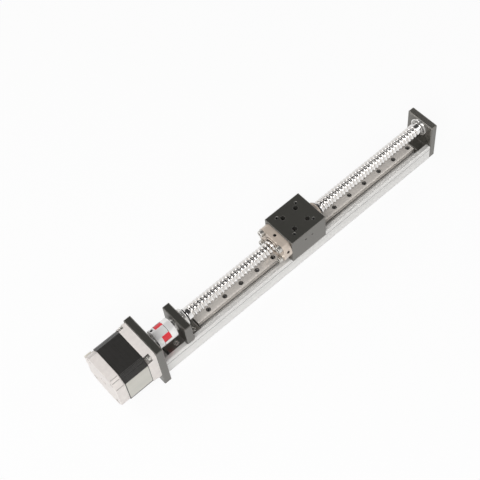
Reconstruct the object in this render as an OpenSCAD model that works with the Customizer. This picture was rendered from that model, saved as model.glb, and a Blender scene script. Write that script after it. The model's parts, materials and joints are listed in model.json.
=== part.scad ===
// Ball screw linear module: a stepper motor turns a ball screw through a jaw coupling,
// and the ball nut drives a slider along a profile rail in a channel base.
// X runs along the module away from the motor, Z is up, and the origin is at the centre
// of the base underside. Every screw-line part is turned about the axis at z = screw_z.

/* [Base and plates] */
// Length of the channel base
base_len = 426; // [400:1:520]
// Width of the channel base, the bearing plate and the end plate
base_w = 40; // [38:0.5:44]
// Height of the channel base
base_h = 24.5; // [24:0.5:28]
// Width of the channel in the base
channel_w = 28; // [27.5:0.5:30]
// Height of the channel floor
floor_z = 12.5; // [12:0.5:13]
// Height of the screw axis above the table
screw_z = 47; // [46.5:0.5:50]
// Height of the bearing plate and the end plate
plate_top = 58.7; // [58.5:0.1:62]
// Width of the motor plate
motor_plate_w = 57.5; // [57:0.5:64]
// Height of the motor plate
motor_plate_h = 75.3; // [75.3:0.1:80]
// Thickness of the motor plate
motor_plate_t = 9.5; // [9:0.5:12]
// Thickness of the bearing plate
bearing_plate_t = 9.6; // [9.6:0.1:12]
// Thickness of the end plate
end_plate_t = 9.4; // [9:0.1:12]

/* [Rail and slider] */
// Length of the profile rail
rail_len = 350; // [325:25:350]
// Distance between the rail screws
rail_pitch = 25; // [25:5:40]
// Length of the slider block
slider_len = 53; // [50:1:60]
// Width of the slider block
slider_w = 46.5; // [45:0.5:56]
// Height of the slider top above the table
slider_top = 64.2; // [64:0.1:68]
// Place of the slider's middle along X, at rest
slider_x = 6.9; // [-100:0.1:150]
// Spacing of the threaded holes in the slider top
thread_pitch = 30; // [28:1:34]

/* [Screw and nut] */
// Outside diameter of the ball screw
screw_d = 16; // [16]
// Travel of the nut in one turn
lead = 5; // [5]
// Diameter of the screw's bearing journals
journal_d = 10; // [10]
// Diameter of the nut body
nut_d = 28; // [27:0.5:29]
// Diameter of the nut flange
flange_d = 46; // [44:1:48]
// Height of the nut flange across its two flats
flange_flats = 31.4; // [30:0.2:32]
// Thickness of the nut flange
flange_t = 10.5; // [10:0.5:12]

/* [Coupling and motor] */
// Outside diameter of the coupling
coupling_d = 25; // [24:0.5:26]
// Angle of the first spider lobe about the axis
spider_phase = 56.5; // [0:0.5:90]
// Side of the square motor
motor_w = 56.4; // [56:0.2:57]
// Length of the motor body
motor_len = 56; // [54:1:80]
// Side of the square of motor mounting holes
motor_hole_pitch = 47.14; // [47.14]
// Corner chamfer of the motor laminations
lam_chamfer = 8.5; // [8:0.5:9]

/* [Hidden] */
$fn = 64;

slip = 0.05;          // radial room round a screw, pin or journal in its hole
black_anodised = [0.19, 0.20, 0.18];
black_screw = [0.24, 0.24, 0.25];
bearing_grey = [0.79, 0.79, 0.80];
ball_grey = [0.88, 0.88, 0.90];
bright_aluminium = [0.90, 0.90, 0.91];
cast_grey = [0.84, 0.82, 0.80];
rail_w = 12;
rail_h = 8;
rail_top = floor_z + rail_h;
rail_x0 = 24.1 - rail_len / 2;
rail_edge = 20;       // first rail hole from the rail's end
rail_counterbore = 4.5;
base_x0 = -base_len / 2;
base_x1 = base_len / 2;
motor_plate_x0 = base_x0 - motor_plate_t;
bearing_plate_x0 = base_x0 + 35.7;
bearing_plate_x1 = bearing_plate_x0 + bearing_plate_t;

// socket head cap screws: thread, head diameter, head height, hex key
M3 = [3, 5.5, 3, 2.5];
M4 = [4, 7, 4, 3];
M5 = [5, 8.5, 5, 4];

// deep-groove bearings: bore, outside diameter, width, ball diameter
SCREW_BEARING = [10, 19, 5, 2.4];
MOTOR_BEARING = [8, 22, 7, 4];

collar_r = 11.5;
collar_x1 = bearing_plate_x1 + 4.2;
fixed_bearing_x0 = bearing_plate_x0 + 0.8;
bearing_step = SCREW_BEARING[2] + 0.02;
fixed_bearing_x1 = fixed_bearing_x0 + 2 * bearing_step;
thread_x0 = bearing_plate_x1 + 6.2;
thread_x1 = base_x1 - 2.3;
journal_x0 = base_x0 + 23.5;
journal_x1 = base_x1 + end_plate_t - 0.8;

slider_x0 = slider_x - slider_len / 2;
slider_x1 = slider_x + slider_len / 2;
carriage_top = floor_z + 13;
bridge_pitch = 20;    // carriage screw pattern, square
side_hole_pitch = 10;
side_hole_z = slider_top - 13.6;
flange_x0 = slider_x0 - flange_t;
nut_x1 = slider_x1 + 6.1;
nut_bore_r = screw_d / 2 + 0.45;
nut_bolt_y = 15;
nut_bolt_z = 10.6;

coupling_x0 = base_x0 + 6;
coupling_x1 = base_x0 + 31;
spider_x0 = coupling_x0 + 6.6;
spider_x1 = spider_x0 + 10.3;
lobe_w = 8.5;
motor_grub_x = coupling_x0 + 2.8;
motor_grub_angle = -30;
screw_grub_x = coupling_x1 - 4;
screw_grub_angle = 150;

motor_x1 = motor_plate_x0;
motor_x0 = motor_x1 - motor_len;
bell_len = 12;
lam_x0 = motor_x0 + bell_len;
lam_x1 = motor_x1 - bell_len;
pilot_d = 38.1;
bolt_square = 40;     // motor through bolts
rear_seat_x = motor_x0 + 2.5;
front_seat_x = lam_x1 + 3.5;
stator_bore_r = 14.5;

// ---- helpers ----

// A round bar along X, Y or Z.
module x_rod(r, x0, x1, y = 0, z = screw_z) translate([x0, y, z]) rotate([0, 90, 0])
    cylinder(r = r, h = x1 - x0);
module y_rod(r, y0, y1, x, z) translate([x, y1, z]) rotate([90, 0, 0]) cylinder(r = r, h = y1 - y0);
module z_rod(r, z0, z1, x, y = 0) translate([x, y, z0]) cylinder(r = r, h = z1 - z0);

// Extrudes a Y-Z outline along X.
module x_profile(x0, x1, z = 0) translate([x0, 0, z]) rotate([90, 0, 90])
    linear_extrude(x1 - x0) children();

// Turns [x, radius] points about the screw axis.
module turned(points) translate([0, 0, screw_z]) rotate([90, 0, 90])
    rotate_extrude() polygon([for (p = points) [p[1], p[0]]]);

// A washer or bush on the screw axis.
module ring(r0, r1, x0, x1) turned([[x0, r0], [x1, r0], [x1, r1], [x0, r1]]);

module bevel_square(w, h, c) polygon([[-w/2 + c, -h/2], [w/2 - c, -h/2], [w/2, -h/2 + c], [w/2, h/2 - c],
    [w/2 - c, h/2], [-w/2 + c, h/2], [-w/2, h/2 - c], [-w/2, -h/2 + c]]);

// A square outline with exactly round corners.
module round_square(w, r) {
    square([w - 2*r, w], center = true);
    square([w, w - 2*r], center = true);
    for (x = [-1, 1], y = [-1, 1]) translate([x * (w/2 - r), y * (w/2 - r)]) circle(r);
}

// A box with every edge bevelled, given by two opposite corners.
module bevel_box(p, q, c) {
    s = q - p;
    translate((p + q) / 2) intersection() {
        linear_extrude(s.z, center = true) bevel_square(s.x, s.y, c);
        rotate([90, 0, 90]) linear_extrude(s.x, center = true) bevel_square(s.y, s.z, c);
        rotate([90, 0, 0]) linear_extrude(s.y, center = true) bevel_square(s.x, s.z, c);
    }
}

// A socket head cap screw: head from z = 0 up, shank down.
module cap_screw(m, length) difference() {
    rotate_extrude() polygon([[0, -length], [m[0]/2 - 0.4, -length], [m[0]/2, -length + 0.4], [m[0]/2, 0],
        [m[1]/2, 0], [m[1]/2, m[2] - 0.4], [m[1]/2 - 0.4, m[2]], [0, m[2]]]);
    translate([0, 0, m[2] * 0.45]) rotate(30) cylinder(d = m[3] * 1.1547, h = m[2], $fn = 6);
}

// Places a screw with its head towards -X or +X.
module head_minus_x(x, y, z) translate([x, y, z]) rotate([0, -90, 0]) children();
module head_plus_x(x, y, z) translate([x, y, z]) rotate([0, 90, 0]) children();

// The two rings and the balls of a deep-groove bearing that starts at x0.
function ball_circle_r(b) = (b[0] + b[1]) / 4;
module bearing_outer(b, x0) {
    rc = ball_circle_r(b);
    land = rc + b[3] * 0.3;
    difference() {
        ring(land, b[1]/2, x0, x0 + b[2]);
        translate([x0 + b[2]/2, 0, screw_z]) rotate([90, 0, 90]) rotate_extrude()
            translate([rc, 0]) circle(b[3]/2 + 0.12);
    }
}
module bearing_inner(b, x0) {
    rc = ball_circle_r(b);
    land = rc - b[3] * 0.3;
    difference() {
        ring(b[0]/2 + slip/2, land, x0, x0 + b[2]);
        translate([x0 + b[2]/2, 0, screw_z]) rotate([90, 0, 90]) rotate_extrude()
            translate([rc, 0]) circle(b[3]/2 + 0.02);
    }
}
module bearing_balls(b, x0, count) for (i = [0 : count - 1])
    translate([x0 + b[2]/2, 0, screw_z]) rotate([i * 360 / count, 0, 0])
        translate([0, 0, ball_circle_r(b)]) sphere(d = b[3], $fn = 24);

// ---- base ----

plate_screw_y = [-15, -5, 5, 15];
plate_screw_z = 6.3;
foot_screw_x = [bearing_plate_x0 - 8, bearing_plate_x1 + 7.2];
foot_screw_y = 8;
mount_x_outer = 190;
mount_x_inner = 65;
mount_y = 12;
mount_r = 2.1;
rail_holes = [for (x = [rail_x0 + rail_edge : rail_pitch : rail_x0 + rail_len - 4.9]) x];

module base_outline() {
    w = base_w / 2;
    c = channel_w / 2;
    groove_z = 18;
    polygon([[-w + 0.6, 0], [w - 0.6, 0], [w, 0.6],
        [w, groove_z - 0.8], [w - 0.8, groove_z], [w, groove_z + 0.8], [w, base_h - 1.2], [w - 1.2, base_h],
        [c + 0.4, base_h], [c, base_h - 0.4], [c, floor_z], [-c, floor_z], [-c, base_h - 0.4],
        [-c - 0.4, base_h], [-w + 1.2, base_h], [-w, base_h - 1.2], [-w, groove_z + 0.8],
        [-w + 0.8, groove_z], [-w, groove_z - 0.8], [-w, 0.6]]);
}

module base_extrusion() color([0.90, 0.89, 0.86]) difference() {
    x_profile(base_x0, base_x1) base_outline();
    for (x = rail_holes) z_rod(M3[0]/2 + slip, floor_z - 8.5, floor_z + 1, x);
    for (x = foot_screw_x, y = [-foot_screw_y, foot_screw_y])
        z_rod(M4[0]/2 + slip, floor_z - 9, floor_z + 1, x, y);
    for (y = plate_screw_y) {
        x_rod(M4[0]/2 + slip, base_x0 - 1, base_x0 + 12, y, plate_screw_z);
        x_rod(M4[0]/2 + slip, base_x1 - 12, base_x1 + 1, y, plate_screw_z);
    }
    for (x = [-mount_x_outer, -mount_x_inner, mount_x_inner, mount_x_outer], y = [-mount_y, mount_y])
        z_rod(mount_r, -1, 9, x, y);
}

module guide_rail() color([0.72, 0.69, 0.66]) difference() {
    x_profile(rail_x0, rail_x0 + rail_len, floor_z) polygon([[-rail_w/2 + 0.3, 0], [rail_w/2 - 0.3, 0],
        [rail_w/2, 0.3], [rail_w/2, 3], [rail_w/2 - 0.9, 3.9], [rail_w/2 - 0.9, 4.9], [rail_w/2, 5.8],
        [rail_w/2, rail_h - 0.5], [rail_w/2 - 0.5, rail_h], [-rail_w/2 + 0.5, rail_h],
        [-rail_w/2, rail_h - 0.5], [-rail_w/2, 5.8], [-rail_w/2 + 0.9, 4.9], [-rail_w/2 + 0.9, 3.9],
        [-rail_w/2, 3], [-rail_w/2, 0.3]]);
    for (x = rail_holes) {
        z_rod(M3[0]/2 + 0.25, floor_z - 1, rail_top + 1, x);
        z_rod(M3[1]/2 + 0.25, rail_top - rail_counterbore, rail_top + 1, x);
    }
}

module rail_screws() color(black_screw) for (x = rail_holes)
    translate([x, 0, rail_top - rail_counterbore]) cap_screw(M3, 10);

module motor_plate() color(black_anodised) difference() {
    bevel_box([motor_plate_x0, -motor_plate_w/2, 0], [base_x0, motor_plate_w/2, motor_plate_h], 0.8);
    x_rod(pilot_d/2 + slip, motor_plate_x0 - 1, motor_plate_x0 + 2.5);
    x_rod(14, motor_plate_x0 - 1, base_x0 + 1);
    for (y = [-1, 1], z = [-1, 1])
        x_rod(M4[0]/2 + slip, motor_plate_x0 - 1, base_x0 + 1,
            y * motor_hole_pitch/2, screw_z + z * motor_hole_pitch/2);
    for (y = plate_screw_y) {
        x_rod(M4[0]/2 + slip, motor_plate_x0 - 1, base_x0 + 1, y, plate_screw_z);
        x_rod(M4[1]/2 + 0.3, motor_plate_x0 - 1, motor_plate_x0 + M4[2] + 0.5, y, plate_screw_z);
    }
}

module motor_plate_screws() color(black_screw) for (y = plate_screw_y)
    head_minus_x(motor_plate_x0 + M4[2] + 0.5, y, plate_screw_z) cap_screw(M4, 16);

// The upright and its foot are one milled block: the foot fills the channel and the
// upright stands on the shoulders of the base.
foot_w = channel_w - 0.2;
foot_back = 22.2;     // reach of the foot towards the motor
foot_front = 14;
foot_counterbore = 6;
lock_nut_r = 8;
module bearing_plate() color(black_anodised) difference() {
    union() {
        bevel_box([bearing_plate_x0, -base_w/2, base_h], [bearing_plate_x1, base_w/2, plate_top], 0.8);
        bevel_box([bearing_plate_x0 - foot_back, -foot_w/2, floor_z],
            [bearing_plate_x1 + foot_front, foot_w/2, base_h - 1.5], 0.5);
        translate([bearing_plate_x0, -foot_w/2, floor_z + 1])
            cube([bearing_plate_t, foot_w, base_h - floor_z]);
    }
    x_rod(lock_nut_r + 0.2, bearing_plate_x0 - 1, bearing_plate_x1 + 1);
    x_rod(SCREW_BEARING[1]/2 + slip/2, fixed_bearing_x0, bearing_plate_x1 + 1);
    for (x = foot_screw_x, y = [-foot_screw_y, foot_screw_y]) {
        z_rod(M4[0]/2 + slip, floor_z - 1, base_h, x, y);
        z_rod(M4[1]/2 + 0.3, base_h - foot_counterbore, base_h, x, y);
    }
}

module bearing_plate_screws() color(black_screw)
    for (x = foot_screw_x, y = [-foot_screw_y, foot_screw_y])
        translate([x, y, base_h - foot_counterbore]) cap_screw(M4, 14);

module bearing_collar() color([0.80, 0.79, 0.77]) turned([
    [bearing_plate_x1, collar_r - 0.6], [bearing_plate_x1 + 0.6, collar_r], [collar_x1 - 0.8, collar_r],
    [collar_x1, collar_r - 0.8], [collar_x1, 8.7], [fixed_bearing_x1, 8.7],
    [fixed_bearing_x1, SCREW_BEARING[1]/2 + slip/2], [bearing_plate_x1, SCREW_BEARING[1]/2 + slip/2]]);

module fixed_bearing_outer() color(bearing_grey) for (i = [0, 1])
    bearing_outer(SCREW_BEARING, fixed_bearing_x0 + i * bearing_step);

end_screw_x = base_x1 + end_plate_t - M4[2] - 0.5;
end_foot_x0 = rail_x0 + rail_len + 0.6;
module end_plate() color(black_anodised) difference() {
    union() {
        bevel_box([base_x1, -base_w/2, 0], [base_x1 + end_plate_t, base_w/2, plate_top], 1.2);
        // the foot fills the channel beyond the rail
        bevel_box([end_foot_x0, -foot_w/2, floor_z], [base_x1 + 2, foot_w/2, floor_z + rail_h], 0.4);
    }
    x_rod(SCREW_BEARING[1]/2 + slip/2, base_x1 - 1, base_x1 + SCREW_BEARING[2]);
    x_rod(7, base_x1 - 1, base_x1 + end_plate_t + 1);
    for (y = plate_screw_y) {
        x_rod(M4[0]/2 + slip, base_x1 - 1, base_x1 + end_plate_t + 1, y, plate_screw_z);
        x_rod(M4[1]/2 + 0.3, end_screw_x, base_x1 + end_plate_t + 1, y, plate_screw_z);
    }
}

module end_plate_screws() color(black_screw) for (y = plate_screw_y)
    head_plus_x(end_screw_x, y, plate_screw_z) cap_screw(M4, 16);

// Flanged bearing of the free end: the flange seats on the inner face of the end plate.
module support_bearing_outer() color(bearing_grey) {
    bearing_outer(SCREW_BEARING, base_x1);
    ring(9.6, collar_r, base_x1 - 2.2, base_x1);
}

// ---- motor ----

// Shallow slots along the bevelled corners of a square: places are counted along each bevel from its
// middle towards the top or bottom, and size is [depth, width].
module corner_slots(w, c, places, size) for (a = [0, 1], b = [0, 1]) mirror([a, 0]) mirror([0, b])
    rotate(45) for (p = places)
        translate([(w - c) / sqrt(2) - size[0], p - size[1]/2]) square([size[0] + 1, size[1]]);

module lamination_outline(c) difference() {
    bevel_square(motor_w, motor_w, c);
    corner_slots(motor_w, c, [5.1, 0.6], [0.8, 1.2]);
}

bell_cavity_r = 25;
boss_r = 14;          // boss that holds the bearing inside each bell
module bell_cavity(x0, x1) x_rod(bell_cavity_r, x0, x1);

// The front bell: a square flange with open corners behind it for the mounting bolts' heads.
motor_flange_t = 5;
bell_corner = 6;
scallop_r = 5.2;
module motor_front_bell() color(cast_grey) difference() {
    union() {
        x_profile(motor_x1 - motor_flange_t, motor_x1, screw_z) round_square(motor_w, bell_corner);
        x_profile(lam_x1, motor_x1 - motor_flange_t, screw_z) difference() {
            bevel_square(motor_w, motor_w, bell_corner);
            for (y = [-1, 1], z = [-1, 1])
                translate([y * motor_hole_pitch/2, z * motor_hole_pitch/2]) circle(scallop_r);
        }
        x_rod(pilot_d/2, motor_x1, motor_x1 + 1.6);
    }
    difference() {
        bell_cavity(lam_x1 - 1, motor_x1 - motor_flange_t);
        x_rod(boss_r, front_seat_x, motor_x1);
    }
    x_rod(MOTOR_BEARING[1]/2 + slip/2, lam_x1 - 1, front_seat_x + MOTOR_BEARING[2]);
    x_rod(7, lam_x1, motor_x1 + 3);
    for (y = [-1, 1], z = [-1, 1]) {
        x_rod(M4[0]/2 + slip, lam_x1, motor_x1 + 1,
            y * motor_hole_pitch/2, screw_z + z * motor_hole_pitch/2);
        x_rod(1.5 + slip, lam_x1 - 1, lam_x1 + 6, y * bolt_square/2, screw_z + z * bolt_square/2);
    }
}

// Stator sheets: a back iron with eight poles that widen into shoes round the rotor.
back_iron_r = 23.5;
pole_w = 6.4;
shoe_r = 17;
shoe_half_angle = 18;
module motor_laminations() color([0.16, 0.16, 0.15]) x_profile(lam_x0, lam_x1, screw_z) difference() {
    union() {
        difference() {
            lamination_outline(lam_chamfer);
            circle(back_iron_r);
        }
        for (i = [0 : 7]) rotate(i * 45) {
            translate([shoe_r - 1.5, -pole_w/2]) square([back_iron_r - shoe_r + 2.5, pole_w]);
            intersection() {
                difference() {
                    circle(shoe_r);
                    circle(stator_bore_r);
                }
                polygon([[0, 0], [20, -20 * tan(shoe_half_angle)], [20, 20 * tan(shoe_half_angle)]]);
            }
        }
    }
    for (y = [-1, 1], z = [-1, 1]) translate([y * bolt_square/2, z * bolt_square/2]) circle(1.5 + slip);
}

// A coil round each pole, reaching past both ends of the stack.
coil_w = 10.8;
coil_end = 4.5;
module motor_windings() color([0.72, 0.42, 0.20]) for (i = [0 : 7])
    translate([lam_x0, 0, screw_z]) rotate([i * 45, 0, 0]) difference() {
        translate([-coil_end, -coil_w/2, shoe_r + 0.4]) cube([lam_x1 - lam_x0 + 2 * coil_end, coil_w, 5]);
        translate([-slip, -pole_w/2 - slip, 15]) cube([lam_x1 - lam_x0 + 2 * slip, pole_w + 2 * slip, 10]);
    }

rear_bell_w = motor_w - 0.6;
rear_bevel = 10;
rear_recess_r = 4.6;
bolt_head_depth = 3.4;
module motor_rear_bell() color(cast_grey) difference() {
    x_profile(motor_x0, lam_x0, screw_z) bevel_square(rear_bell_w, rear_bell_w, rear_bevel);
    x_profile(motor_x0 + 1.2, lam_x0 - 1.2, screw_z)
        corner_slots(rear_bell_w, rear_bevel, [6.4, 2.2, -6.2], [0.7, 0.9]);
    difference() {
        bell_cavity(motor_x0 + 4, lam_x0 + 1);
        x_rod(boss_r, motor_x0, lam_x0 - 2);
    }
    x_rod(MOTOR_BEARING[1]/2 + slip/2, rear_seat_x, lam_x0 + 1);
    x_rod(rear_recess_r, motor_x0 - 1, motor_x0 + 0.5);
    for (y = [-1, 1], z = [-1, 1]) {
        x_rod(1.5 + slip, motor_x0 - 1, lam_x0 + 1, y * bolt_square/2, screw_z + z * bolt_square/2);
        x_rod(3, motor_x0 - 1, motor_x0 + bolt_head_depth, y * bolt_square/2, screw_z + z * bolt_square/2);
    }
}

module motor_through_bolts() color([0.55, 0.55, 0.56]) for (y = [-1, 1], z = [-1, 1])
    head_minus_x(motor_x0 + bolt_head_depth, y * bolt_square/2, screw_z + z * bolt_square/2)
        cap_screw(M3, motor_len - bell_len + 1);

module motor_mount_bolts() color(black_screw) for (y = [-1, 1], z = [-1, 1])
    head_minus_x(motor_x1 - motor_flange_t, y * motor_hole_pitch/2, screw_z + z * motor_hole_pitch/2)
        cap_screw(M4, 13);

module motor_bearing_outer() color(bearing_grey) {
    bearing_outer(MOTOR_BEARING, rear_seat_x);
    bearing_outer(MOTOR_BEARING, front_seat_x);
}

// The motor's cable inlet: an open shroud on the far side of the rear bell.
module motor_connector() color([0.92, 0.91, 0.86]) {
    y0 = rear_bell_w / 2;
    size = [9, 6.5, 17];
    wall = 1.2;
    translate([motor_x0 + 1.5, y0, screw_z - size.z/2]) difference() {
        cube(size);
        translate([wall, wall, wall]) cube(size - [2 * wall, 0, 2 * wall]);
    }
}

// ---- screw line ----

// The ball screw is one closed surface, built as rows of points from the motor end to the far end.
// Its ball track is a right-hand helix: row i of the track stands at angle i * 360 / track_steps and
// holds one pitch of land and groove, and its last point joins the first point of the row one turn on.
track_steps = 16;
journal_steps = 3 * track_steps;
track_depth = 1.15;
track_profile = [[0, 0], [1.8, 0], [2.6, track_depth], [4.2, track_depth]];  // along one pitch, depth
track_margin = 2;     // plain rim between the track and each end of the thread
run_out = 6;          // rows in which the groove's depth fades at each end
rim_bevel = 0.6;
journal_bevel = 0.5;
track_turns = floor((thread_x1 - thread_x0 - 2 * track_margin) / lead) - 1;
track_rows = track_turns * track_steps;

function around(x, r, a) = [x, r * cos(a), r * sin(a)];
function circle_points(x, r, count) = [for (i = [0 : count - 1]) around(x, r, i * 360 / count)];
function fade(i) = min(1, i / run_out, (track_rows - i) / run_out);
function track_point(i, k) = around(thread_x0 + track_margin + lead * i / track_steps + track_profile[k][0],
    screw_d/2 - track_profile[k][1] * fade(i), i * 360 / track_steps);

// The point lists follow each other in this order: motor-end rings, track, far-end rings.
near_rings = concat(circle_points(journal_x0, journal_d/2 - journal_bevel, journal_steps),
    circle_points(journal_x0 + journal_bevel, journal_d/2, journal_steps),
    circle_points(thread_x0, journal_d/2, journal_steps),
    circle_points(thread_x0, screw_d/2 - rim_bevel, track_steps),
    circle_points(thread_x0 + rim_bevel, screw_d/2, track_steps));
track_points = concat([for (i = [0 : track_rows + track_steps]) track_point(i, 0)],
    [for (k = [1 : len(track_profile) - 1], i = [0 : track_rows]) track_point(i, k)]);
far_rings = concat(circle_points(thread_x1 - rim_bevel, screw_d/2, track_steps),
    circle_points(thread_x1, screw_d/2 - rim_bevel, track_steps),
    circle_points(thread_x1, journal_d/2, journal_steps),
    circle_points(journal_x1 - journal_bevel, journal_d/2, journal_steps),
    circle_points(journal_x1, journal_d/2 - journal_bevel, journal_steps));
near_face = 2 * journal_steps;
near_rim = 3 * journal_steps;
track_start = near_rim + 2 * track_steps;
far_rim = track_start + len(track_points);
far_face = far_rim + 2 * track_steps;

function track_id(i, k) = k == len(track_profile) ? track_id(i + track_steps, 0)
    : track_start + (k == 0 ? i : track_steps + k * (track_rows + 1) + i);
// Faces between two rings of points that start at a and b, a being the one nearer the motor.
function band(a, b, count) = [for (i = [0 : count - 1])
    let (j = (i + 1) % count) [a + i, b + i, b + j, a + j]];
// Faces of a flat shoulder between a rim of track_steps points and a journal of journal_steps points.
function shoulder(rim, journal) = [for (i = [0 : track_steps - 1])
    concat([rim + i, rim + (i + 1) % track_steps],
        [for (m = [3 : -1 : 0]) journal + (3 * i + m) % journal_steps])];
function turned_over(faces) = [for (f = faces) [for (m = [len(f) - 1 : -1 : 0]) f[m]]];

module ball_screw() color([0.82, 0.83, 0.85]) translate([0, 0, screw_z]) polyhedron(
    points = concat(near_rings, track_points, far_rings),
    faces = concat([[for (i = [0 : journal_steps - 1]) i]],
        band(0, journal_steps, journal_steps),
        band(journal_steps, near_face, journal_steps),
        shoulder(near_rim, near_face),
        band(near_rim, near_rim + track_steps, track_steps),
        [for (i = [0 : track_steps - 2]) let (rim = near_rim + track_steps + i)
            [rim, track_id(i, 0), track_id(i + 1, 0), rim + 1]],
        [concat([track_start - 1, track_id(track_steps - 1, 0), track_id(track_steps, 0)],
            [for (k = [len(track_profile) - 1 : -1 : 0]) track_id(0, k)], [near_rim + track_steps])],
        [for (i = [0 : track_rows - 1], k = [0 : len(track_profile) - 1], half = [0, 1]) half == 0
            ? [track_id(i, k), track_id(i, k + 1), track_id(i + 1, k + 1)]
            : [track_id(i, k), track_id(i + 1, k + 1), track_id(i + 1, k)]],
        [for (i = [track_rows + 1 : track_rows + track_steps - 1])
            [track_id(i, 0), far_rim + i % track_steps, far_rim + (i + 1) % track_steps,
            track_id(i + 1, 0)]],
        [concat([for (k = [0 : len(track_profile)]) track_id(track_rows, k)],
            [far_rim + track_rows % track_steps, far_rim + (track_rows + 1) % track_steps,
            track_id(track_rows + 1, 0)])],
        band(far_rim, far_rim + track_steps, track_steps),
        turned_over(shoulder(far_rim + track_steps, far_face)),
        band(far_face, far_face + journal_steps, journal_steps),
        band(far_face + journal_steps, far_face + 2 * journal_steps, journal_steps),
        [[for (i = [journal_steps - 1 : -1 : 0]) far_face + 2 * journal_steps + i]]));

module fixed_bearing_inner() color(bearing_grey) for (i = [0, 1])
    bearing_inner(SCREW_BEARING, fixed_bearing_x0 + i * bearing_step);

module fixed_bearing_balls() color(ball_grey) for (i = [0, 1])
    bearing_balls(SCREW_BEARING, fixed_bearing_x0 + i * bearing_step, 12);

module bearing_spacer() color(black_screw)
    ring(journal_d/2 + slip/2, 8.2, fixed_bearing_x1, thread_x0);

module screw_lock_nut() color([0.60, 0.60, 0.61]) difference() {
    turned([[bearing_plate_x0 - 4, journal_d/2 + slip/2], [bearing_plate_x0 - 4, lock_nut_r - 0.4],
        [bearing_plate_x0 - 3.6, lock_nut_r], [bearing_plate_x0 - 0.5, lock_nut_r],
        [bearing_plate_x0 - 0.5, 6.3], [fixed_bearing_x0, 6.3], [fixed_bearing_x0, journal_d/2 + slip/2]]);
    for (i = [0 : 3]) translate([bearing_plate_x0 - 5, 0, screw_z]) rotate([i * 90 + 20, 0, 0])
        translate([0, -1.25, 6.8]) cube([6, 2.5, 4]);
}

module support_bearing_inner() color(bearing_grey) {
    bearing_inner(SCREW_BEARING, base_x1);
    ring(journal_d/2 + slip/2, 8.6, thread_x1, base_x1 - 0.3);
}

module support_bearing_balls() color(ball_grey) bearing_balls(SCREW_BEARING, base_x1, 12);

module screw_circlip() color(black_screw) difference() {
    ring(journal_d/2 + slip/2, 6.4, base_x1 + SCREW_BEARING[2] + 0.3, base_x1 + SCREW_BEARING[2] + 1.3);
    translate([base_x1 + SCREW_BEARING[2], -1.5, screw_z - 8]) cube([2, 3, 5]);
}

// ---- coupling ----

// What is cut away round a hub's two quarter claws, which stand between the spider's lobes.
module claw_gaps() difference() {
    square(2 * coupling_d, center = true);
    for (i = [0, 180]) rotate(i) translate([lobe_w/2 + slip, lobe_w/2 + slip]) square(coupling_d);
}

// A hub whose disc runs from x0 to x1 and whose claws reach from claw_x0 to claw_x1.
module coupling_hub(x0, x1, claw_x0, claw_x1, phase, bore, screw_x, screw_angle) difference() {
    x_rod(coupling_d/2, min(x0, claw_x0), max(x1, claw_x1));
    x_profile(claw_x0 < x0 ? claw_x0 - 1 : x1, claw_x0 < x0 ? x0 : claw_x1 + 1, screw_z)
        rotate(phase) claw_gaps();
    x_rod(bore/2 + slip/2, x0 - 1, x1 + 1);
    translate([screw_x, 0, screw_z]) rotate([screw_angle, 0, 0]) cylinder(r = 2 + slip, h = coupling_d);
}

module coupling_hub_motor() color(bright_aluminium) coupling_hub(coupling_x0, spider_x0, spider_x0,
    spider_x1 - 0.5, spider_phase, MOTOR_BEARING[0], motor_grub_x, motor_grub_angle);

module coupling_hub_screw() color(bright_aluminium) coupling_hub(spider_x1, coupling_x1, spider_x0 + 0.5,
    spider_x1, spider_phase + 90, journal_d, screw_grub_x, screw_grub_angle);

module coupling_spider() color([0.86, 0.16, 0.20]) x_profile(spider_x0, spider_x1, screw_z)
    rotate(spider_phase) difference() {
        intersection() {
            circle(coupling_d/2 - 0.3);
            union() {
                square([lobe_w, coupling_d], center = true);
                square([coupling_d, lobe_w], center = true);
            }
        }
        circle(3);
    }

module grub_screw(r0, r1) difference() {
    translate([0, 0, r0]) cylinder(r = 2, h = r1 - r0);
    translate([0, 0, r1 - 1.8]) cylinder(d = 2 * 1.1547, h = 3, $fn = 6);
}

module coupling_set_screws() color(black_screw) {
    translate([motor_grub_x, 0, screw_z]) rotate([motor_grub_angle, 0, 0])
        grub_screw(MOTOR_BEARING[0]/2 + 0.1, coupling_d/2 - 1.5);
    translate([screw_grub_x, 0, screw_z]) rotate([screw_grub_angle, 0, 0])
        grub_screw(journal_d/2 + 0.1, coupling_d/2 - 1.5);
}

module motor_shaft() color([0.80, 0.80, 0.82]) turned([[motor_x0 + 2.6, 0],
    [motor_x0 + 2.6, MOTOR_BEARING[0]/2 - 0.4], [motor_x0 + 3, MOTOR_BEARING[0]/2],
    [coupling_x0 + 5.6, MOTOR_BEARING[0]/2], [coupling_x0 + 6, MOTOR_BEARING[0]/2 - 0.4],
    [coupling_x0 + 6, 0]]);

// Two toothed cups of a hybrid stepper rotor, half a tooth apart, with the magnet between.
rotor_teeth = 50;
rotor_r = stator_bore_r - 0.5;
module rotor_cup(x0, x1, phase) x_profile(x0, x1, screw_z) rotate(phase) difference() {
    polygon([for (i = [0 : rotor_teeth - 1], k = [[-0.25, 0], [0.25, 0], [0.3, 0.7], [0.7, 0.7]])
        let (a = (i + k[0]) * 360 / rotor_teeth) (rotor_r - k[1]) * [cos(a), sin(a)]]);
    circle(MOTOR_BEARING[0]/2 + slip/2);
}
module motor_rotor() color([0.50, 0.50, 0.52]) {
    middle = (lam_x0 + lam_x1) / 2;
    rotor_cup(lam_x0 + 1, middle - 2, 0);
    rotor_cup(middle + 2, lam_x1 - 1, 180 / rotor_teeth);
    ring(MOTOR_BEARING[0]/2 + slip/2, rotor_r - 1.5, middle - 2 + slip, middle + 2 - slip);
}

module motor_bearing_inner() color(bearing_grey) {
    bearing_inner(MOTOR_BEARING, rear_seat_x);
    bearing_inner(MOTOR_BEARING, front_seat_x);
}

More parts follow.
